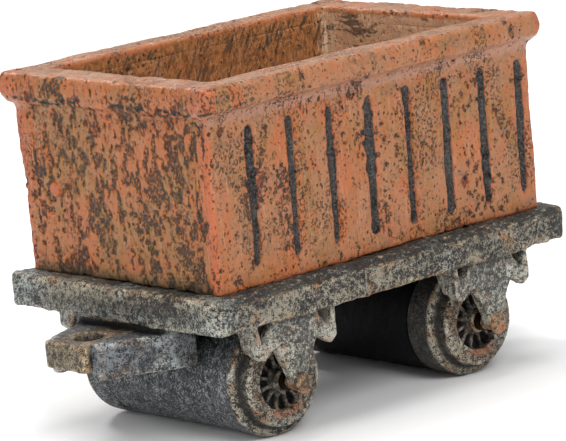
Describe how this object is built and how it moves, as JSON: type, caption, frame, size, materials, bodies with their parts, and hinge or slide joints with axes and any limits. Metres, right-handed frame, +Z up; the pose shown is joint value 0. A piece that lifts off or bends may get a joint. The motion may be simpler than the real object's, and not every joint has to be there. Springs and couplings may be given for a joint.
{
  "type": "mine cart",
  "caption": "Model-size mine cart: grooved tub with a thick rim on a flat deck, W-shaped axle guards, drawbars with pin holes and spoked wheelsets that roll.",
  "frame": {"origin": "on the ground under the middle of the cart, between the drawbars", "axes": "+X towards the front drawbar, +Y to the cart's left, +Z up"},
  "size_m": [0.1532, 0.0826, 0.0923],
  "materials": {
    "tub_paint": "matte",
    "rim_paint": "matte",
    "deck_paint": "matte",
    "iron_paint": "matte",
    "worn_paint": "matte",
    "wheel_paint": "matte",
    "drum_paint": "matte",
    "steel": "satin",
    "brass": "satin",
    "dowel_wood": "matte"
  },
  "bodies": {
    "root": {"tub_side_left": "tub_paint", "tub_side_right": "tub_paint", "tub_end_front": "tub_paint", "tub_end_rear": "tub_paint", "tub_floor": "tub_paint", "tub_rim": "rim_paint", "corner_dowels": "dowel_wood", "rim_dowels": "dowel_wood", "deck_frame": "deck_paint", "deck_plate": "deck_paint", "sill_left": "deck_paint", "sill_right": "deck_paint", "tub_bolts": "steel", "draw_casting_front": "iron_paint", "coupling_tongue_front": "worn_paint", "draw_bolts_front": "steel", "draw_casting_rear": "iron_paint", "coupling_tongue_rear": "worn_paint", "draw_bolts_rear": "steel", "axle_guard_front_left": "iron_paint", "axle_guard_front_right": "iron_paint", "axle_guard_rear_left": "iron_paint", "axle_guard_rear_right": "iron_paint", "axle_box_front_left": "worn_paint", "axle_box_front_right": "worn_paint", "axle_box_rear_left": "worn_paint", "axle_box_rear_right": "worn_paint", "axle_bush_front_left": "brass", "axle_bush_front_right": "brass", "axle_bush_rear_left": "brass", "axle_bush_rear_right": "brass", "guard_screws": "steel"},
    "front_wheelset": {"axle_front": "steel", "drum_front": "drum_paint", "wheel_front_left": "wheel_paint", "wheel_front_right": "wheel_paint", "thrust_washers_front": "brass", "drum_dowels_front": "steel"},
    "rear_wheelset": {"axle_rear": "steel", "drum_rear": "drum_paint", "wheel_rear_left": "wheel_paint", "wheel_rear_right": "wheel_paint", "thrust_washers_rear": "brass", "drum_dowels_rear": "steel"}
  },
  "joints": [
    {"name": "front_wheelset_spin", "type": "hinge", "parent": "root", "child": "front_wheelset", "pos_m": [0.0339, 0, 0.0146], "axis": [0, 1, 0], "continuous": true},
    {"name": "rear_wheelset_spin", "type": "hinge", "parent": "root", "child": "rear_wheelset", "pos_m": [-0.0339, 0, 0.0146], "axis": [0, 1, 0], "continuous": true}
  ]
}
